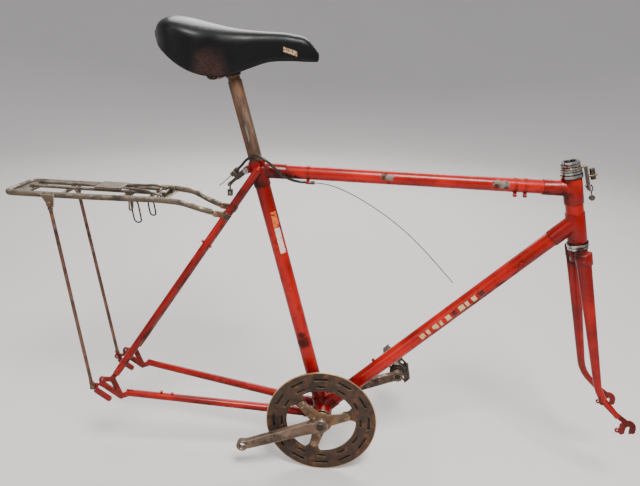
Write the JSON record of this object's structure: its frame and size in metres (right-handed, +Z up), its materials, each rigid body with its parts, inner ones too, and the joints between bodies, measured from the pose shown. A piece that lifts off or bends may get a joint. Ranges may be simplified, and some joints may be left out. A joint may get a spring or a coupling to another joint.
{
  "type": "bicycle frameset",
  "caption": "Lugged steel road bicycle frameset with fork, cottered crankset, left cage pedal, saddle on a straight post and a rear luggage rack; no wheels, bars or brakes.",
  "frame": {"origin": "rear axle's centre, in the middle plane", "axes": "+X forwards, +Y to the rider's left along the rear axle, +Z up"},
  "size_m": [1.2316, 0.2515, 0.8798],
  "materials": {
    "red_paint": "worn gloss",
    "chrome": "tarnished",
    "rusty_steel": "rusted",
    "dull_steel": "dull, grimed",
    "cable_steel": "dull",
    "dark_steel": "dark, dirty",
    "black_housing": "gloss",
    "black_vinyl": "satin",
    "black_plastic": "matt"
  },
  "bodies": {
    "frame": {"head_tube": "red_paint", "top_tube": "red_paint", "seat_tube": "red_paint", "down_tube": "red_paint", "head_lug_upper": "red_paint", "head_lug_lower": "red_paint", "seat_lug": "red_paint", "bb_shell": "red_paint", "dropouts": "red_paint", "chain_stays": "red_paint", "seat_stays": "red_paint", "stay_bridges": "red_paint", "brazed_fittings": "red_paint", "cable_clips": "chrome", "headset_cups": "chrome", "bearing_cages": "rusty_steel", "binder_bolt": "chrome", "rear_hanger": "rusty_steel", "brake_housing": "black_housing", "front_wire": "cable_steel", "tail_wire": "cable_steel", "rack_rails": "dull_steel", "rack_cross_bars": "dull_steel", "rack_inner_rails": "dull_steel", "rack_rear_plate": "dull_steel", "rack_front_plate": "dull_steel", "rack_struts": "rusty_steel", "rack_clamps": "rusty_steel", "rack_screws": "rusty_steel", "bottom_bracket_cups": "rusty_steel"},
    "fork": {"steerer": "chrome", "fork_crown": "red_paint", "fork_blades": "red_paint", "fork_tips": "red_paint", "headset_races": "chrome", "lock_nut": "chrome", "front_hanger": "rusty_steel"},
    "front_barrel": {"front_barrel": "dark_steel"},
    "front_link": {"front_link": "dark_steel"},
    "rear_barrel": {"rear_barrel": "dark_steel"},
    "rear_yoke": {"rear_yoke": "dark_steel"},
    "crankset": {"spindle": "rusty_steel", "crank_right": "rusty_steel", "crank_left": "rusty_steel", "cotters": "rusty_steel", "spider": "rusty_steel", "chain_guard": "rusty_steel", "chainring": "rusty_steel", "chainring_bolts": "rusty_steel", "pedal_axle": "rusty_steel"},
    "pedal": {"pedal_barrel": "rusty_steel", "pedal_cage": "rusty_steel"},
    "post": {"seat_post": "rusty_steel", "saddle_clip_band": "rusty_steel"},
    "rail_clips": {"rail_clips": "rusty_steel"},
    "saddle": {"saddle_pad": "black_vinyl", "saddle_base": "black_plastic", "saddle_rails": "rusty_steel"},
    "rack_clip": {"rack_clip": "dull_steel"},
    "rack_loop": {"rack_loop": "dull_steel"}
  },
  "joints": [
    {"name": "steering", "type": "hinge", "parent": "frame", "child": "fork", "pos_m": [0.89642, 0, 0.36398], "axis": [-0.2504, 0, 0.9681], "range_deg": [-100, 100]},
    {"name": "crank_spin", "type": "hinge", "parent": "frame", "child": "crankset", "pos_m": [0.43851, 0, -0.0397], "axis": [0, 1, 0], "continuous": true},
    {"name": "pedal_spin", "type": "hinge", "parent": "crankset", "child": "pedal", "pos_m": [0.59561, 0, 0.01074], "axis": [0, 1, 0], "continuous": true},
    {"name": "post_slide", "type": "slide", "parent": "frame", "child": "post", "axis": [-0.2748, 0, 0.9615], "range_m": [-0.085, 0.01]},
    {"name": "saddle_tilt", "type": "hinge", "parent": "post", "child": "rail_clips", "pos_m": [0.2151, 0, 0.6328], "axis": [0, 1, 0], "range_deg": [-8, 8]},
    {"name": "saddle_slide", "type": "slide", "parent": "rail_clips", "child": "saddle", "axis": [1, 0, 0], "range_m": [-0.012, 0.012]},
    {"name": "rack_clip_hinge", "type": "hinge", "parent": "frame", "child": "rack_clip", "pos_m": [0.11651, 0, 0.4095], "axis": [0, 1, 0], "range_deg": [0, 80], "stiffness_Nm_per_rad": 0.06, "springref_deg": -34.38},
    {"name": "rack_loop_swing", "type": "hinge", "parent": "frame", "child": "rack_loop", "pos_m": [0.04651, 0, 0.4043], "axis": [0, 1, 0], "range_deg": [-60, 60]},
    {"name": "front_barrel_turn", "type": "hinge", "parent": "fork", "child": "front_barrel", "pos_m": [0.90154, 0, 0.49115], "axis": [-0.3135, 0, 0.9496], "continuous": true},
    {"name": "front_link_swing", "type": "hinge", "parent": "fork", "child": "front_link", "pos_m": [0.89721, 0, 0.47076], "axis": [0, 1, 0], "range_deg": [-6, 6]},
    {"name": "rear_barrel_turn", "type": "hinge", "parent": "frame", "child": "rear_barrel", "pos_m": [0.24901, 0, 0.4563], "axis": [0.7071, 0, 0.7071], "continuous": true},
    {"name": "rear_yoke_swing", "type": "hinge", "parent": "frame", "child": "rear_yoke", "pos_m": [0.24101, 0, 0.4343], "axis": [0, 1, 0], "range_deg": [-40, 40]}
  ]
}
